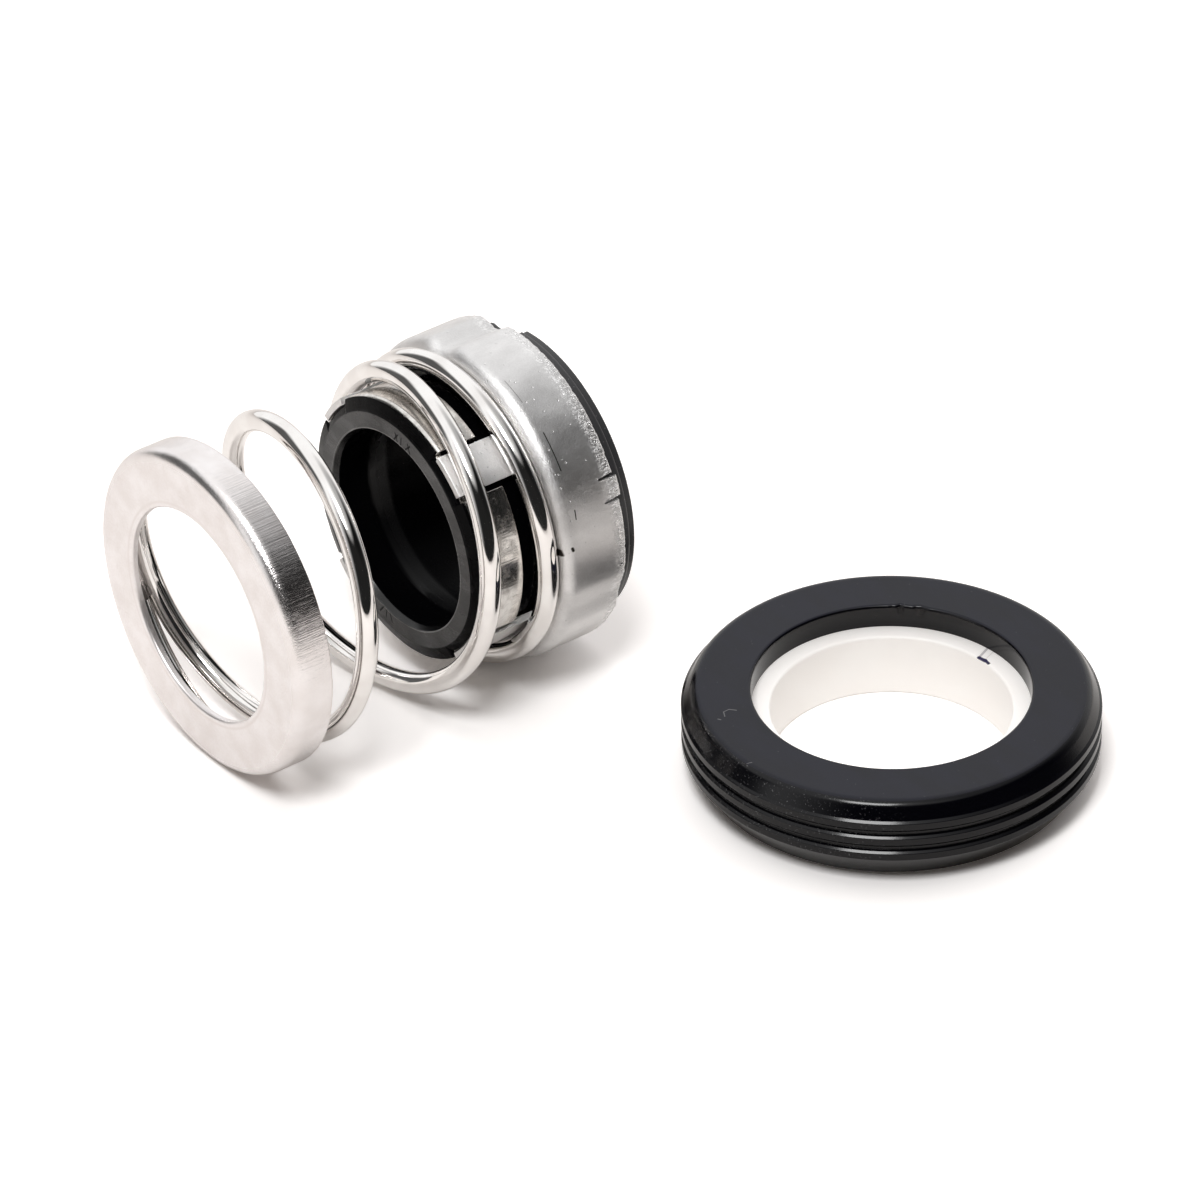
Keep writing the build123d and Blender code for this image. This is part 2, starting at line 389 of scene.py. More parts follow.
def dress(piece, material):
    """Gives a piece its finish, in place of any that it had."""
    piece.data.materials.clear()
    piece.data.materials.append(material)
    print(piece.name, "wears", material.name, "of", len(material.node_tree.nodes), "nodes")


# %% [markdown]
# ## The camera
# The camera stands about 66 cm away, in front of the spring's end and well above the
# floor, with a long lens, so the rings keep their true ovals.  An empty could be
# tracked, but the view has a slight roll, so its three directions are worked out.

# %% Place the camera
aim = Vector((0.009724, 0.018936, 0.0))
azimuth, elevation, roll = (math.radians(a) for a in (-36.5, 34.355, -1.2686))
distance = 0.66156
back = Vector((
    math.sin(azimuth) * math.cos(elevation),
    -math.cos(azimuth) * math.cos(elevation),
    math.sin(elevation),
))
level_right = Vector((math.cos(azimuth), math.sin(azimuth), 0))
level_up = back.cross(level_right)
right = level_right * math.cos(roll) + level_up * math.sin(roll)
up = level_up * math.cos(roll) - level_right * math.sin(roll)
camera_data = bpy.data.cameras.new("camera")
camera_data.sensor_width = 36.0
camera_data.lens = 214.2
camera_data.clip_start = 0.01
camera_data.clip_end = 20.0
camera = bpy.data.objects.new("camera", camera_data)
bpy.context.scene.collection.objects.link(camera)
turn = Matrix((right, up, back)).transposed()
camera.matrix_world = Matrix.Translation(aim + back * distance) @ turn.to_4x4()
bpy.context.scene.camera = camera
bpy.context.scene.view_settings.view_transform = "Standard"
print("camera at", [round(c, 4) for c in camera.location])

# %% [markdown]
# ## The studio round it
# Polished wire shows its whole surroundings.  They are a white sweep with two dark
# places, the room in front, low down, and a corner behind on the left, and a dimmer
# patch overhead.  These draw the dark lines along the wire and the grey bands on the
# skirts.  Flags and cards round the pieces could do it too, but a world colour that
# depends only on direction does it with one surface.  Only shiny surfaces need that
# pattern.  Soft light comes from above and behind, and is a dim warm grey elsewhere,
# and the camera sees white.

# %% Light the world
world = bpy.data.worlds.new("studio")
world.use_nodes = True
bpy.context.scene.world = world
sky = Reading(world.node_tree)
toward = sky.node("ShaderNodeTexCoord", out="Generated")
toward_x, toward_y, toward_z = (
    sky.node("ShaderNodeSeparateXYZ", values={0: toward}, out=k) for k in range(3)
)
level = (toward_x * toward_x + toward_y * toward_y) ** 0.5


def dark_place(azimuth, edge, core, top, clear):
    """A dark part of the room round one azimuth, up to a height."""
    a = math.radians(azimuth)
    facing = (toward_x * math.cos(a) + toward_y * math.sin(a)) / level
    return step(facing, edge, core) * (1.0 - step(toward_z, top, clear))


def nearness(x, y, z):
    """How nearly a direction is the one given: 1 along it, 0 square to it."""
    return toward_x * x + toward_y * y + toward_z * z


front_room = dark_place(-90, -0.25, 0.55, 0.68, 0.88)
back_corner = dark_place(130, 0.80, 0.93, 0.50, 0.72)
dim_overhead = step(nearness(0.557, -0.321, 0.766), 0.72, 0.96)
room = 1.0 - 0.985 * front_room
room = room - 0.90 * back_corner
room = room * (1.0 - 0.55 * dim_overhead)
camera_ray = sky.node("ShaderNodeLightPath", out="Is Camera Ray")
shiny_ray = sky.node("ShaderNodeLightPath", out="Is Glossy Ray")
shown = camera_ray + shiny_ray * room
dim_grey, bright_grey = (0.10, 0.088, 0.080), (1.36, 1.32, 1.30)
soft_light = colour_mix(step(nearness(0.50, 0.50, 0.707), 0.35, 0.90), dim_grey, bright_grey)
world_colour = colour_mix(camera_ray + shiny_ray, soft_light, shown)
background = world.node_tree.nodes["Background"]
world.node_tree.links.new(world_colour.socket, background.inputs["Color"])
background.inputs["Strength"].default_value = 1.0
print("studio of", len(world.node_tree.nodes), "nodes")

# %% [markdown]
# ## A softbox and the floor
# One square softbox hangs over the camera's left shoulder.  It gives the wire and the
# ribs their white lines and the shadows their direction.  More lamps would each add a
# line and a shadow, so the rest of the light is left to the world.  The floor is white
# paper.  To the camera it is paler than paper can be, so that it runs into the white
# sweep and only the shadows close to the pieces are left.

# %% Hang the softbox and lay the floor


def softbox(name, azimuth, elevation, distance, side, watts):
    """A square lamp that looks at the object and doesn't show in a view."""
    lamp = bpy.data.lights.new(name, "AREA")
    lamp.shape = "SQUARE"
    lamp.size = side
    lamp.energy = watts
    box = bpy.data.objects.new(name, lamp)
    bpy.context.scene.collection.objects.link(box)
    a, e = math.radians(azimuth), math.radians(elevation)
    away = Vector((math.cos(a) * math.cos(e), math.sin(a) * math.cos(e), math.sin(e)))
    box.location = away * distance
    box.rotation_mode = "QUATERNION"
    box.rotation_quaternion = away.to_track_quat("Z", "Y")
    box.visible_camera = False
    print(name, "at", [round(c, 3) for c in box.location])


softbox("softbox_left", -142, 63, 0.7, 0.22, 2.5)

floor_mesh = bpy.data.meshes.new("floor")
floor_reach = 4.0
floor_mesh.from_pydata(
    [(x * floor_reach, y * floor_reach, 0) for x, y in ((-1, -1), (1, -1), (1, 1), (-1, 1))],
    [], [(0, 1, 2, 3)])
floor = bpy.data.objects.new("floor", floor_mesh)
bpy.context.scene.collection.objects.link(floor)
paper, paper_shader, paper_places = new_finish(
    "white_paper", Roughness=1.0, Specular_IOR_Level=0.0)
paper_seen = paper_places.metres.node("ShaderNodeLightPath", out="Is Camera Ray")
paper_white, sweep_white = (0.90, 0.88, 0.86), (1.36, 1.34, 1.33)
feed(paper_shader, Base_Color=colour_mix(paper_seen, paper_white, sweep_white))
floor_mesh.materials.append(paper)

# %% [markdown]
# ## The spring holder
# A shallow cup drawn from sheet, with a large hole: the coil spring pushes into its
# corner.  It is a plain body of revolution, so its outline is turned as it stands,
# and only the press's uneven edge is added.  The face was pickled dull, and the die
# left fine marks along the skirt.  Two materials would meet in a hard line there, so
# both are one steel, whose grain changes from one to the other round the bend.

# %% Turn the spring holder
holder_sheet = 0.7
holder_hole = 10.2
skirt_radius = 15.6
skirt_depth = 3.8
holder_outline = rounded_outline([
    (0.0, holder_hole, 0.28),
    (0.0, skirt_radius, 1.2),
    (skirt_depth, skirt_radius, 0.14),
    (skirt_depth, skirt_radius - holder_sheet, 0.1),
    (holder_sheet, skirt_radius - holder_sheet, 0.5),
    (holder_sheet, holder_hole, 0.1),
], steps=8)


def holder_shape(along, radius, angle):
    """The skirt's open edge was left a little uneven by the press."""
    uneven = 0.035
    if along > skirt_depth - 0.3:
        around = Vector((math.cos(angle), math.sin(angle), 0))
        along += uneven * noise.noise(around * 4) - uneven
    return along, radius


holder_piece = turned_piece("spring_holder_cup", holder_outline, head_point, 360, holder_shape)
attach(holder_piece, "holder")
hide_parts("spring_holder")

# %% Give it drawn and pickled steel
drawn_steel, shader, at = new_finish("drawn_steel", Metallic=1.0)
on_skirt = step(at.off_axis, 15.0, 15.5)
draw_marks = at.grain(0.16, (40, 1, 1), detail=4.0, roughness=0.65)
long_marks = at.grain(0.5, (14, 1, 1), detail=2.0, shift=3.0)
pickling = at.grain(0.22, detail=5.0, roughness=0.7)
level_lines = at.grain(0.09, (1, 22, 2), detail=2.0, shift=5.0)
upright_lines = at.grain(0.09, (1, 2, 18), detail=2.0, shift=9.0)
scratches = step(level_lines, 0.68, 0.76) + step(upright_lines, 0.69, 0.77)
blotches = at.grain(2.4, detail=3.0)
steel_tone = 0.75 * (blotches - 0.5) + 0.5 * (pickling - 0.5) * (1.0 - on_skirt)
on_bend = step(at.off_axis, 14.35, 14.75)
burr = step(at.off_axis, 10.55, 10.72) * (1.0 - step(at.off_axis, 10.78, 10.98))
open_edge = step(at.along, 3.5, 3.62)
brightness = step(steel_tone, -0.25, 0.3) * (1.0 - 0.9 * burr) - 0.5 * scratches - 0.6 * open_edge
stained_steel, clean_steel = (0.86, 0.815, 0.80), (0.985, 0.955, 0.955)
feed(shader,
     Base_Color=colour_mix(brightness, stained_steel, clean_steel),
     Roughness=0.36 - 0.14 * on_bend + 0.12 * (draw_marks - 0.5) * on_skirt + 0.05 * scratches,
     Normal=bump(draw_marks * on_skirt + 0.5 * long_marks * on_skirt, 0.034,
                 bump(pickling * (1.0 - on_skirt) - 0.4 * scratches * (1.0 - on_skirt)
                      - 1.2 * burr, 0.009)))
dress(holder_piece, drawn_steel)

# %% [markdown]
# ## The coil spring
# Round wire, wound left-handed: closed against the retainer, open in the middle, and
# drawn in at the end that enters the holder.  The spring crosses the joint that lets
# the holder slide.  Only the wire's centre line is modelled, and a small node tree on
# it makes the round wire.

# %% Wind the wire's centre line
wire_radius = 1.0
free_coil_radius = 14.1
held_coil_radius = 13.65
seated_x = 28.35
held_x = 1.8
first_turn = -0.36
last_turn = 3.68
turns_drawn_in, draw_in_span = 2.2, 0.45
pitch_stops = [
    (0.40, 0.0), (0.64, 0.107), (0.93, 0.115), (1.45, 0.322),
    (1.80, 0.567), (2.30, 0.770), (2.50, 0.819), (2.72, 0.945), (2.90, 1.0),
]


def smooth(t):
    """0 up to 0, 1 from 1, and an even ramp with soft ends between."""
    t = min(1.0, max(0.0, t))
    return t * t * (3 - 2 * t)


def pitch_share(turn):
    """Share of the way from the retainer to the holder covered after some turns."""
    if turn <= pitch_stops[0][0]:
        return 0.0
    for (turn0, share0), (turn1, share1) in zip(pitch_stops, pitch_stops[1:]):
        if turn <= turn1:
            return share0 + (share1 - share0) * (turn - turn0) / (turn1 - turn0)
    return 1.0


def eased_pitch(turn):
    """The same, averaged over a fifth of a turn, so that the wire bends smoothly."""
    samples = 12
    half_span = 0.1
    return sum(pitch_share(turn + half_span * ((k + 0.5) / samples * 2 - 1))
               for k in range(samples)) / samples


wire_points = []
stations_per_turn = 120
station_count = round((last_turn - first_turn) * stations_per_turn)
for k in range(station_count + 1):
    turn = first_turn + (last_turn - first_turn) * k / station_count
    drawn_in = smooth((turn - turns_drawn_in) / draw_in_span)
    radius = free_coil_radius + (held_coil_radius - free_coil_radius) * drawn_in
    along = seated_x + (held_x - seated_x) * eased_pitch(turn)
    wire_points.append(head_point(along, radius, 2 * math.pi * turn))
wire_line = bpy.data.meshes.new("coil_spring")
wire_line.from_pydata(wire_points, [(k, k + 1) for k in range(station_count)], [])
spring_piece = bpy.data.objects.new("coil_spring", wire_line)
bpy.context.scene.collection.objects.link(spring_piece)
print("wire stations:", len(wire_points))

# %% Make the line a round wire


def round_wire(name, radius, sides, material):
    """A node tree that runs a circle along a mesh's edges, as wire is drawn."""
    group = bpy.data.node_groups.new(name, "GeometryNodeTree")
    group.interface.new_socket("Geometry", in_out="INPUT", socket_type="NodeSocketGeometry")
    group.interface.new_socket("Geometry", in_out="OUTPUT", socket_type="NodeSocketGeometry")
    start = Reading(group)
    line = start.node("NodeGroupInput")
    curve = line.node("GeometryNodeMeshToCurve", values={"Mesh": line})
    ring = start.node("GeometryNodeCurvePrimitiveCircle",
                      values={"Resolution": sides, "Radius": radius})
    tube = curve.node("GeometryNodeCurveToMesh",
                      values={"Curve": curve, "Profile Curve": ring, "Fill Caps": True})
    smooth_tube = tube.node("GeometryNodeSetShadeSmooth", values={"Geometry": tube})
    painted = smooth_tube.node(
        "GeometryNodeSetMaterial", values={"Geometry": smooth_tube, "Material": material})
    painted.node("NodeGroupOutput", values={"Geometry": painted})
    return group


bright_wire, shader, at = new_finish("bright_wire", Metallic=1.0)
die_lines = at.grain(0.35, detail=3.0)
haze = at.grain(3.0, detail=2.0)
hazy_steel, bright_steel = (0.90, 0.872, 0.85), (0.97, 0.95, 0.93)
feed(shader,
     Base_Color=colour_mix(step(haze, 0.35, 0.65), hazy_steel, bright_steel),
     Roughness=0.045 + 0.05 * step(haze, 0.4, 0.7) + 0.03 * die_lines,
     Normal=bump(die_lines, 0.0012))
dress(spring_piece, bright_wire)
wire_sides = 40
wire_maker = spring_piece.modifiers.new("round wire", "NODES")
wire_maker.node_group = round_wire("round wire", wire_radius * MM, wire_sides, bright_wire)
head_point(seated_x, 0, 0)
head_point(held_x, 0, 0)
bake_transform(spring_piece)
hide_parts("spring")

# %% [markdown]
# ## The drive band
# A thin ring pressed round the rubber tail, with an inward lip in front.  It is cut by
# four notches.  Cutting a whole ring with a boolean would leave slivers beside the
# cuts, so the four arcs between the notches are turned one by one and bevelled.

# %% Turn the arcs of the drive band
band_front_x = 22.4
band_rear_x = 26.7
band_sheet = 0.6
band_inner_radius = 12.1
band_outer_radius = 12.7
band_lip_radius = 11.5
tongue_angles = [40.0 + 90.0 * k for k in range(4)]
notch_half = 11.5
arc_span = 90.0 - 2 * notch_half
band_outline = rounded_outline([
    (band_front_x, band_lip_radius, 0.12),
    (band_front_x, band_outer_radius, 0.48),
    (band_rear_x, band_outer_radius, 0.08),
    (band_rear_x, band_inner_radius, 0.08),
    (band_front_x + band_sheet, band_inner_radius, 0.08),
    (band_front_x + band_sheet, band_lip_radius, 0.12),
], steps=4)
lip_outline = rounded_outline([
    (band_front_x, band_lip_radius, 0.12),
    (band_front_x, band_inner_radius, 0.05),
    (band_front_x + band_sheet, band_inner_radius, 0.05),
    (band_front_x + band_sheet, band_lip_radius, 0.12),
], steps=4)


def add_bevel(piece, width):
    """Rounds the cut ends that an outline's own corners don't reach."""
    bevel = piece.modifiers.new("cut edges", "BEVEL")
    bevel.width = width * MM
    bevel.segments = 2
    bevel.limit_method = "ANGLE"
    bevel.angle_limit = math.radians(50)
    bevel.harden_normals = False


def band_shape(along, radius, angle):
    """Pressed by hand round the tail, so it is a few hundredths out of round."""
    deepest, shrink = 0.03, 0.02
    place = Vector((along * 0.3, math.cos(angle) * 3, math.sin(angle) * 3))
    lift = deepest * noise.noise(place)
    return along, radius - shrink + lift


mesh = bmesh.new()
for angle in tongue_angles:
    past_notch, before_notch = angle + notch_half, angle - notch_half
    add_turned(mesh, band_outline, head_point, 84, band_shape, past_notch, arc_span)
    add_turned(mesh, lip_outline, head_point, 28, band_shape, before_notch, 2 * notch_half)
band_piece = finished_mesh("drive_band_stamping", mesh)
add_bevel(band_piece, 0.05)
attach(band_piece, "band")
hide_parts("drive_band")

# %% Give it bright pressed steel
pressed_steel, shader, at = new_finish("pressed_steel", Metallic=1.0)
hammer = at.grain(1.3, (2.2, 1, 1), detail=2.0)
rolled = at.grain(0.25, (6, 1, 1), detail=4.0)
stain = at.grain(0.9, detail=4.0, roughness=0.65)
clean_band, stained_band = (0.82, 0.80, 0.77), (0.60, 0.57, 0.54)
feed(shader,
     Base_Color=colour_mix(step(stain, 0.35, 0.7), clean_band, stained_band),
     Roughness=0.16 + 0.14 * step(stain, 0.42, 0.66),
     Normal=bump(0.25 * hammer + 0.2 * rolled, 0.06))
dress(band_piece, pressed_steel)

# %% [markdown]
# ## The rubber bellows
# One moulding: a thick tail that grips the shaft, a thin web that flexes, and a flange
# behind the carbon ring.  The tail moves with the drive band and the flange with the
# retainer.  It is turned as one mesh.  Its skin is black and glossy, with smears and
# dust on the end face, and a coat is laid only there, because the bore inside reflects
# next to nothing.

# %% Turn the bellows
tail_front_x = 21.75
tail_radius = 12.05
bore_radius = 9.5
collar_radius = 12.65
groove_front_x = band_front_x - 0.05
groove_rear_x = groove_front_x + 0.7
groove_floor = 11.45
notch_floor = 12.08
web_x, web_radius = 29.0, 11.6
flange_x, flange_radius = 30.85, 14.0
carbon_back_x, carbon_bore = 33.05, 10.5
bellows_outline = rounded_outline([
    (tail_front_x, bore_radius + 0.3, 0.1),
    (tail_front_x, collar_radius - 1.25, 0.12),
    (groove_front_x - 0.15, collar_radius, 0.1),
    (groove_front_x, collar_radius, 0.04),
    (groove_front_x, groove_floor, 0.04),
    (groove_rear_x, groove_floor, 0.04),
    (groove_rear_x, tail_radius, 0.04),
    (web_x - 0.7, tail_radius, 0.5),
    (web_x, web_radius, 0.2),
    (flange_x, web_radius, 0.1),
    (flange_x, flange_radius, 0.5),
    (carbon_back_x, flange_radius, 0.1),
    (carbon_back_x, carbon_bore, 0.1),
    (28.2, carbon_bore, 1.5),
    (25.6, bore_radius, 1.5),
    (tail_front_x + 0.6, bore_radius, 0.25),
], steps=6)


def turned_away(angle, middle):
    """How far round a point is from a middle line, in radians, either way."""
    away = (angle - math.radians(middle) + math.pi) % (2 * math.pi) - math.pi
    return abs(away)


def bellows_shape(along, radius, angle):
    """The collar opens at the four tongues, and flash stands here and there."""
    if along < groove_front_x + 0.1 and radius > groove_floor + 0.05:
        for tongue_angle in tongue_angles:
            if turned_away(angle, tongue_angle) < math.radians(notch_half):
                radius = min(radius, notch_floor)
        wave = noise.noise(Vector((math.cos(angle), math.sin(angle), 0.3)) * 9)
        along += 0.04 * max(0.0, wave)
    return along, radius


bellows_piece = turned_piece("bellows_moulding", bellows_outline, head_point, 640, bellows_shape)
head_point(30.4, 0, 0)
head_point(27.2, 0, 0)
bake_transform(bellows_piece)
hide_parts("bellows")

# %% Give it black moulded rubber
bellows_rubber, shader, at = new_finish(
    "bellows_rubber", Metallic=0.0, Specular_IOR_Level=0.05, Coat_Roughness=0.24)
skin = at.grain(0.12, detail=4.0, roughness=0.6)
smears = at.grain(1.6, (1, 2.5, 1), detail=4.0)
dust = at.specks(0.55, 0.09)
front_face = 1.0 - step(at.along, tail_front_x + 0.03, tail_front_x + 0.12)
in_bore = 1.0 - step(at.off_axis, 9.85, 9.95)
lead_in = in_bore * (1.0 - step(at.along, tail_front_x + 0.5, tail_front_x + 0.8))
end_face = front_face * (1.0 - step(at.off_axis, 11.35, 11.45))
marks_inside, marks_outside, marks_width = 9.95, 10.75, 0.16
leaning_marks = ((2, 3), (5, -2), (8, 0), (12, 3), (16, -3), (194, 2), (191, 0), (188, -2))


def on_face(radius, angle):
    """A point of the end face, left and up from the axis."""
    return radius * math.sin(math.radians(angle)), radius * math.cos(math.radians(angle))


tool_marks = front_face * total([
    stroke(at.left, at.up, on_face(marks_inside, angle), on_face(marks_outside, angle + lean),
           marks_width)
    for angle, lean in leaning_marks
])
smeared = step(smears, 0.35, 0.7)
# The end face is painted a lighter black: partly its real smears, partly painted sheen.
smears_and_sheen = 0.15 + 0.85 * step(smears, 0.45, 0.75)
rubber_black, smear_and_sheen_black = (0.0012, 0.0012, 0.0016), (0.016, 0.016, 0.017)
dust_grey = (0.12, 0.12, 0.12)
feed(shader,
     Base_Color=colour_mix(
         dust * front_face,
         colour_mix(front_face * smears_and_sheen * (1.0 - tool_marks), rubber_black, smear_and_sheen_black),
         dust_grey),
     Roughness=0.22 + 0.10 * smeared - 0.10 * in_bore + 0.4 * tool_marks,
     Coat_Weight=end_face * (0.75 + 0.25 * smeared) * (1.0 - 0.8 * tool_marks) + lead_in,
     Normal=bump(skin * (1.0 - 0.9 * in_bore) + 4.0 * tool_marks, 0.008))
dress(bellows_piece, bellows_rubber)

# %% [markdown]
# ## The washer
# A flat steel ring pressed between the bellows flange and the retainer.  It could be
# turned again as a finer mesh, but it is hidden but for a glint through the spring, so
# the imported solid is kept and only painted.

# %% Paint the washer
washer_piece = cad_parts["washer"]
washer_steel, shader, at = new_finish("washer_steel", Metallic=1.0)
ground = at.grain(0.2, detail=4.0)
dark_steel, light_steel = (0.60, 0.585, 0.565), (0.72, 0.70, 0.68)
feed(shader,
     Base_Color=colour_mix(step(ground, 0.3, 0.7), dark_steel, light_steel),
     Roughness=0.28 + 0.12 * ground,
     Normal=bump(ground, 0.005))
dress(washer_piece, washer_steel)

# %% [markdown]
# ## The retainer
# The head's shell, drawn from sheet.  Three long dents key the carbon ring inside it,
# one of them hardly pressed.  Three tabs are slit from the rim and bent in over the
# carbon, and four tongues are bent back from its inner edge into the notches of the
# band.  Booleans would cut the slits, but would leave hard edges where drawn steel is
# soft, so dents, slits and tabs are pushed into the turned mesh point by point.

# %% Turn the retainer's shell
shell_back_x = 29.4
shell_rim_x = 36.2
shell_sheet = 0.65
shell_radius = 15.6
shell_hole = 13.5
dent_depth = 0.9
shallow_dent = 0.3
dents = {347.5: dent_depth, 107.5: shallow_dent, 227.5: dent_depth}
dent_tool = 4.0
dent_half = 9.4
tab_angles = [66.5, 186.5, 306.5]
tab_half = 3.5
slit_half = 4.8
tab_root_x = shell_rim_x - 1.8
tab_reach = 0.43
tab_sink = 0.13


def shell_shape(along, radius, angle):
    """Dents in the wall, slit tabs at the rim, and a dull, nibbled surface."""
    if radius < shell_hole + 0.6:
        return along, radius
    wall = smooth((radius - 14.0) / 0.9)
    pressed = 0.0
    width = math.radians(dent_half)
    for dent, depth in dents.items():
        away = turned_away(angle, dent)
        if away < width:
            pressed = depth * (0.5 + 0.5 * math.cos(math.pi * away / width))
    cut = pressed * wall
    if along > tab_root_x:
        for tab in tab_angles:
            away = math.degrees(turned_away(angle, tab))
            out_share = (along - tab_root_x) / (shell_rim_x - tab_root_x)
            if away <= tab_half + 0.1:
                cut += tab_sink * smooth(out_share * 3)
                along += tab_reach * out_share
            elif away < slit_half - 0.1:
                along = tab_root_x + 0.02 * out_share
    around = Vector((math.cos(angle), math.sin(angle), 0))
    dull = noise.noise(around * 3.0 + Vector((0, 0, along * 0.3)))
    cut += 0.03 + 0.02 * dull
    nibbled = 0.45
    if along > shell_rim_x - nibbled:
        bite = noise.noise(around * 26) + 0.5 * noise.noise(around * 70)
        along -= 0.05 + 0.07 * max(0.0, bite)
        cut += 0.04 + 0.05 * bite
    return along, min(shell_radius, radius - cut)


shell_outline = divided(rounded_outline([
    (shell_back_x, shell_hole, 0.1),
    (shell_back_x, shell_radius, 1.2),
    (shell_rim_x, shell_radius, 0.34),
    (shell_rim_x, shell_radius - shell_sheet, 0.08),
    (shell_back_x + shell_sheet, shell_radius - shell_sheet, 0.55),
    (shell_back_x + shell_sheet, shell_hole, 0.1),
], steps=8), 0.35)
mesh = bmesh.new()
add_turned(mesh, shell_outline, head_point, 900, shell_shape)

# %% Bend the four tongues
tongue_tip_x = 22.05
tongue_inner = 12.25
tongue_outer = 12.9
tongue_half = 9.0
tongue_outline = rounded_outline([
    (tongue_tip_x, tongue_inner, 0.06),
    (tongue_tip_x, tongue_outer, 0.1),
    (shell_back_x, tongue_outer, 0.5),
    (shell_back_x, shell_hole + 0.03, 0),
    (shell_back_x + shell_sheet, shell_hole + 0.03, 0),
    (shell_back_x + shell_sheet, tongue_inner, 1.1),
], steps=5)
for angle in tongue_angles:
    add_turned(mesh, tongue_outline, head_point, 12, None, angle - tongue_half, 2 * tongue_half)
shell_piece = finished_mesh("retainer_shell", mesh)
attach(shell_piece, "seal")
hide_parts("retainer")

# %% Give it dull drawn steel
dull_steel, shader, at = new_finish("dull_steel", Metallic=1.0)
cloud = at.grain(2.6, (1.6, 1, 1), detail=4.0, roughness=0.6)
grit = at.grain(0.16, detail=5.0, roughness=0.75)
pits = at.specks(0.9, 0.12)
near_rim = step(at.along, 34.4, 35.9)
near_shoulder = 1.0 - step(at.along, 29.9, 31.4)
rubbed = step(at.grain(0.28, (1.5, 1, 1), detail=4.0, roughness=0.7, shift=2.0), 0.47, 0.57)
worn_rim = near_rim * rubbed
per_degree = math.pi / 180 * shell_radius
arc = at.angle * per_degree
# from (along, degrees), to (along, degrees), width and weight
nicks = [
    (31.16, 40.8, 31.14, 54.5, 0.10, 1.0),
    (31.23, 68.5, 31.15, 71.6, 0.11, 1.0),
    (30.84, 18.5, 30.92, 28.4, 0.09, 0.5),
    (29.37, 81.6, 29.45, 83.2, 0.34, 1.0),
    (30.27, 81.0, 30.33, 81.8, 0.28, 1.0),
]
marks = total([
    weight * stroke(at.along, arc, (start_x, start_angle * per_degree),
                    (end_x, end_angle * per_degree), width)
    for start_x, start_angle, end_x, end_angle, width, weight in nicks
])
in_dent = total([
    1.0 - step(abs(at.angle - ((dent + 180) % 360 - 180)), 7.0, 11.0) for dent in dents
])
tone = 0.9 * (cloud - 0.5) + 0.55 * (grit - 0.5) + 0.9 * worn_rim - 0.8 * pits
dull_grey, rubbed_grey, nick_brown = (0.72, 0.71, 0.705), (0.94, 0.93, 0.925), (0.04, 0.035, 0.03)
feed(shader,
     Base_Color=colour_mix(
         marks, colour_mix(step(tone, -0.3, 0.45), dull_grey, rubbed_grey), nick_brown),
     Roughness=0.36 + 0.24 * (cloud - 0.5) + 0.16 * (grit - 0.5) + 0.12 * in_dent
     - 0.14 * worn_rim,
     Normal=bump(cloud * 2.0 + grit * (0.8 + 0.8 * in_dent + 0.8 * near_shoulder)
                 + worn_rim * 1.3 - pits * 1.2, 0.027))
dress(shell_piece, dull_steel)

# %% [markdown]
# ## The carbon ring
# The rotating face: carbon-graphite, turned and lapped, with grooves along its side
# where the shell's dents hold it.  The grooves could be cut with three cylinders, but
# pushing the turned points in to a round floor leaves no slivers.  Carbon is dark grey
# with a soft sheen and tiny bright grains, and its side shows the lines of the lathe.

# %% Turn the carbon ring
carbon_shoulder_x = 37.4
carbon_nose_x = 38.2
carbon_radius = 14.5
nose_inside, nose_outside = 12.1, 14.1
carbon_outline = divided(rounded_outline([
    (carbon_back_x, carbon_bore, 0.1),
    (carbon_back_x, carbon_radius, 0.1),
    (carbon_shoulder_x, carbon_radius, 0.3),
    (carbon_shoulder_x, nose_outside, 0.06),
    (carbon_nose_x, nose_outside, 0.2),
    (carbon_nose_x, nose_inside, 0.08),
    (carbon_shoulder_x, nose_inside, 0.1),
    (carbon_shoulder_x, carbon_bore, 0.15),
], steps=4), 0.8)
groove_widening = 1.0
groove_shift = 5.0


def carbon_shape(along, radius, angle):
    """Round grooves, wider than the dents; one runs out before the free end."""
    tool = dent_tool + shell_sheet + groove_widening
    middle = shell_radius + dent_tool - dent_depth
    for dent, depth in dents.items():
        shallow = depth == shallow_dent
        away = turned_away(angle, dent - (0.0 if shallow else groove_shift))
        inside = tool * tool - (middle * math.sin(away)) ** 2
        runs_out = shallow and along > shell_rim_x - 0.4
        if radius > 13.0 and away < 0.5 and inside > 0 and not runs_out:
            radius = min(radius, middle * math.cos(away) - math.sqrt(inside))
    return along, radius


carbon_piece = turned_piece("carbon_ring", carbon_outline, head_point, 480, carbon_shape)
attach(carbon_piece, "seal")
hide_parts("primary_ring")

# %% Give it machined carbon
machined_carbon, shader, at = new_finish(
    "machined_carbon", Metallic=0.0, Specular_IOR_Level=0.6)
lathe_lines = at.grain(0.07, (1, 400, 400), detail=2.0)
graphite = at.grain(0.1, detail=4.0, roughness=0.7)
bright_grains = at.specks(0.5, 0.12)
lapped = step(at.along, carbon_nose_x - 0.15, carbon_nose_x - 0.03)
carbon_black, grain_grey = (0.016, 0.016, 0.018), (0.22, 0.22, 0.23)
feed(shader,
     Base_Color=colour_mix(bright_grains * 0.6 + 0.12 * graphite, carbon_black, grain_grey),
     Roughness=0.40 - 0.18 * lapped + 0.08 * (graphite - 0.5),
     Normal=bump(graphite + 0.5 * lathe_lines, 0.006))
dress(carbon_piece, machined_carbon)

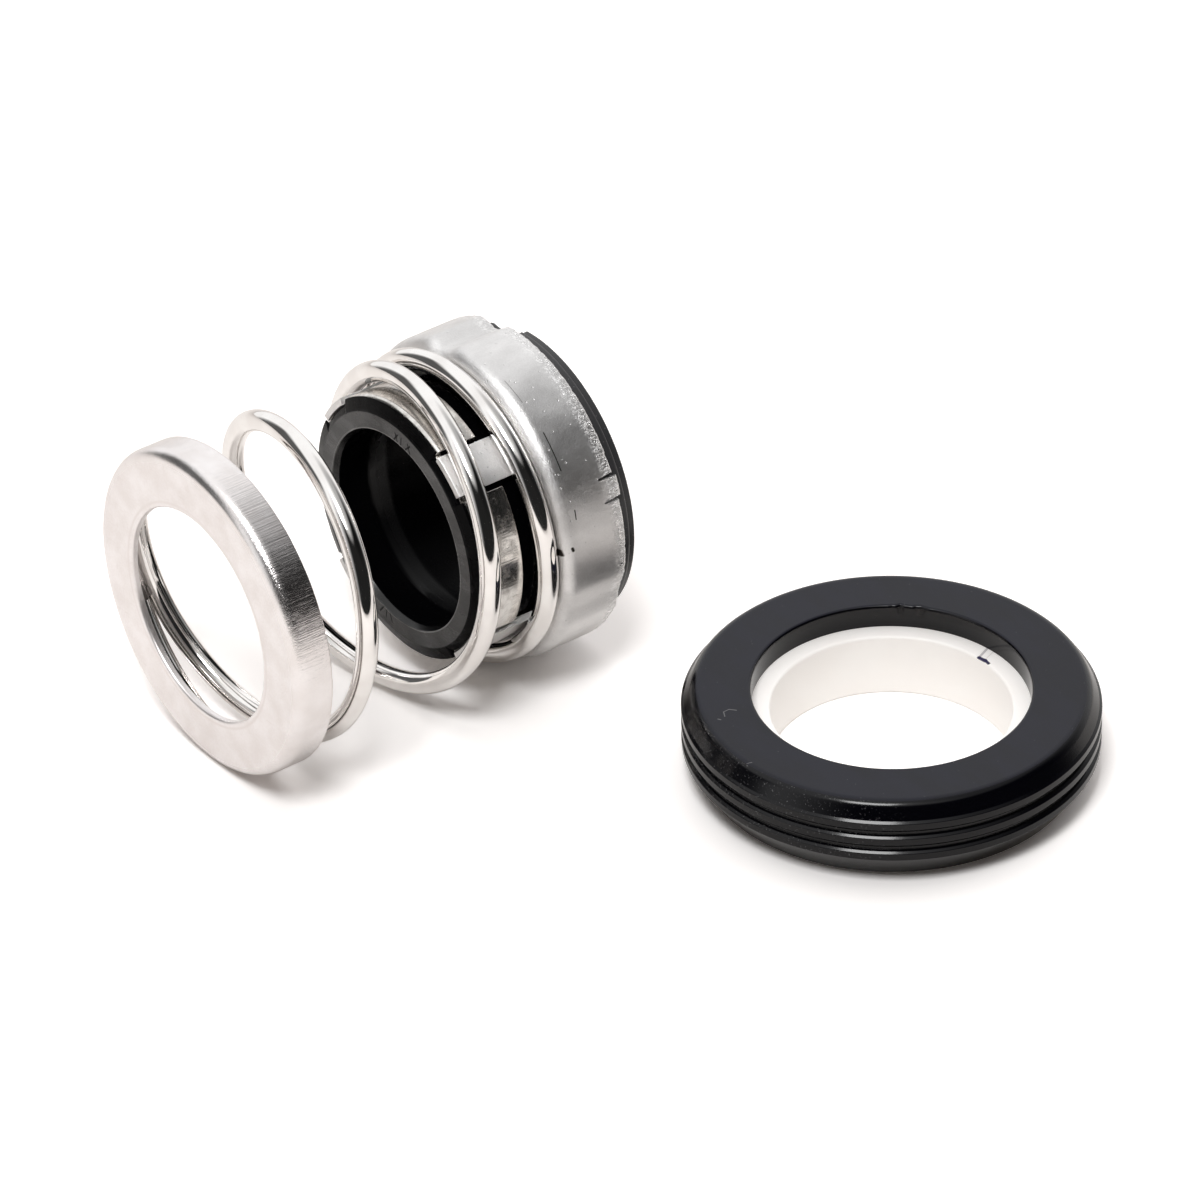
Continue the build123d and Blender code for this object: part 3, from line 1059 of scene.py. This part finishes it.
# %% [markdown]
# ## The ceramic ring
# The still face that the carbon runs on, white fired alumina, ground on every side.
# Only its bore and a ledge of its back show inside the rubber cup.  Light sinks into
# real alumina and comes out again.  Subsurface scattering would do that at a price, and
# a faint glow of its own colour is enough for a ring this thick.  A pen stroke on the
# ledge marks the side that was inspected.

# %% Turn the ceramic ring
ceramic_bore = 10.8
ceramic_radius = 16.2
ceramic_top = 6.15
ceramic_edge = 0.25
ceramic_outline = rounded_outline([
    (0.0, ceramic_bore, ceramic_edge),
    (0.0, ceramic_radius, ceramic_edge),
    (ceramic_top, ceramic_radius, ceramic_edge),
    (ceramic_top, ceramic_bore, ceramic_edge),
], steps=5)
ceramic_piece = turned_piece("ceramic_ring", ceramic_outline, seat_point, 300)
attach(ceramic_piece, "seal")
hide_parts("seat_ring")

# %% Give it fired alumina
alumina, shader, at = new_finish(
    "fired_alumina", Metallic=0.0, Specular_IOR_Level=0.5, Emission_Strength=0.10)
body_cloud = at.grain(3.0, detail=3.0)
ground_lines = at.grain(0.12, (1, 1, 0.2), detail=3.0)
on_ledge = step(at.height, 6.0, 6.1)
# start, end, width and weight of each pull of the pen
pen_strokes = [
    ((12.5, 1.6), (10.89, 0.93), 0.26, 0.45),
    ((10.89, 0.93), (11.05, 0.27), 0.42, 1.0),
    ((11.08, 0.3), (11.02, -0.30), 0.30, 1.0),
    ((12.4, 0.8), (11.05, 0.3), 0.16, 0.2),
]
ink = on_ledge * total([
    weight * stroke(at.seat_x, at.seat_y, start, end, width)
    for start, end, width, weight in pen_strokes
])
ivory, white, ink_blue = (0.97, 0.945, 0.92), (0.99, 0.975, 0.955), (0.012, 0.008, 0.06)
glow, no_glow = (1.0, 0.98, 0.95), (0.0, 0.0, 0.0)
feed(shader,
     Base_Color=colour_mix(ink, colour_mix(step(body_cloud, 0.3, 0.7), ivory, white), ink_blue),
     Roughness=0.42 + 0.1 * (ground_lines - 0.5),
     Emission_Color=colour_mix(ink, glow, no_glow),
     Normal=bump(ground_lines, 0.003))
dress(ceramic_piece, alumina)

# %% [markdown]
# ## The rubber cup
# The seat's cup holds the ceramic and seals it in its housing: a plain land for the
# press, three ribs that are squeezed, and a taper that leads it in.  The ribs repeat,
# so a loop adds their corners to one outline.  Its back wears a dull bloom, the ribs
# are glossy, and the hole's edge was torn a little from its sprue.  The bloom follows
# the height of a point, so one rubber serves for both.

# %% Turn the rubber cup
seat_height = 8.4
cup_hole = 12.5
land_radius = 18.5
rib_radius = 18.75
groove_radius = 18.3
rib_count = 3
rib_height = 0.62
rib_pitch = 1.6
top_rib = 6.1
foot_height = 0.35
foot_radius = 17.0
cup_corners = [
    (ceramic_top, cup_hole, 0.05),
    (seat_height, cup_hole, 0.3),
    (seat_height, land_radius - 0.85, 1.0),
    (6.92, land_radius, 0.08),
]
for k in range(rib_count):
    low = top_rib - rib_pitch * k
    cup_corners += [(low + rib_height, rib_radius, 0.1), (low, rib_radius, 0.12)]
    if k < rib_count - 1:
        cup_corners += [
            (low - 0.4, groove_radius, 0.12),
            (low - rib_pitch + rib_height + 0.27, groove_radius, 0.05),
            (low - rib_pitch + rib_height + 0.18, rib_radius - 0.22, 0.03),
        ]
cup_corners += [
    (foot_height, foot_radius, 0.15),
    (foot_height, ceramic_radius, 0.05),
    (ceramic_top, ceramic_radius, 0.05),
]
cup_outline = divided(rounded_outline(cup_corners, steps=5), 0.5)


def cup_shape(height, radius, angle):
    """The sprue's tear at the far side of the hole, and flash along the foot."""
    tear_angle, tear_half, tear_depth, flash = 42.5, 8, 0.32, 0.05
    around = Vector((math.cos(angle), math.sin(angle), 0))
    if radius < cup_hole + 0.6 and height > seat_height - 1.0:
        torn = smooth(1.4 - turned_away(angle, tear_angle) / math.radians(tear_half))
        rough = 0.35 + 1.2 * noise.noise(around * 30)
        near_edge = smooth((height - 7.6) / 0.5)
        radius += tear_depth * torn * near_edge * max(0.0, rough)
    if height < 0.8 and radius > ceramic_radius + 0.4:
        radius += flash * max(0.0, noise.noise(around * 40))
    return height, radius


cup_piece = turned_piece("seat_cup_moulding", cup_outline, seat_point, 480, cup_shape)
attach(cup_piece, "seal")
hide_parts("seat_cup")

# %% Give it bloomed rubber
cup_rubber, shader, at = new_finish(
    "cup_rubber", Metallic=0.0, Specular_IOR_Level=0.32)
bloom = step(at.height, 8.28, 8.385)
skin = at.grain(0.13, detail=5.0, roughness=0.65)
wiping = at.grain(2.5, (1, 3, 1), detail=4.0, roughness=0.6)
lint = at.specks(0.8, 0.05)
# start, end and width of each short scratch in the bloom
scratch_lines = [
    ((-14.5, 5.5), (-14.16, 6.12), 0.09),
    ((-14.16, 6.12), (-13.55, 6.12), 0.08),
    ((-13.55, 6.12), (-13.12, 5.61), 0.10),
    ((-15.22, 5.56), (-15.09, 5.33), 0.10),
    ((-17.42, -1.26), (-16.96, -1.47), 0.08),
]
scratches = total([
    stroke(at.seat_x, at.seat_y, start, end, width) for start, end, width in scratch_lines
])
left_side = 1.0 - step(at.seat_x, -14.5, -9.0)
on_side = (1.0 - bloom) * step(at.seat_off, 17.0, 17.6)
smudges = at.grain(0.22, detail=4.0, roughness=0.7, shift=4.0)
dirt = left_side * on_side * step(smudges, 0.60, 0.70)
bloomed = bloom * (0.6 + 0.4 * step(wiping, 0.35, 0.65))
gloss_black, bloom_blue = (0.0010, 0.0010, 0.0022), (0.004, 0.0045, 0.013)
dirt_grey = (0.13, 0.13, 0.135)
feed(shader,
     Base_Color=colour_mix(
         dirt + (lint + scratches) * bloom,
         colour_mix(bloomed, gloss_black, bloom_blue), dirt_grey),
     Roughness=0.15 + 0.27 * bloom + 0.06 * (skin - 0.5),
     Normal=bump(skin * (0.3 + 0.7 * bloom), 0.006))
dress(cup_piece, cup_rubber)

# %% [markdown]
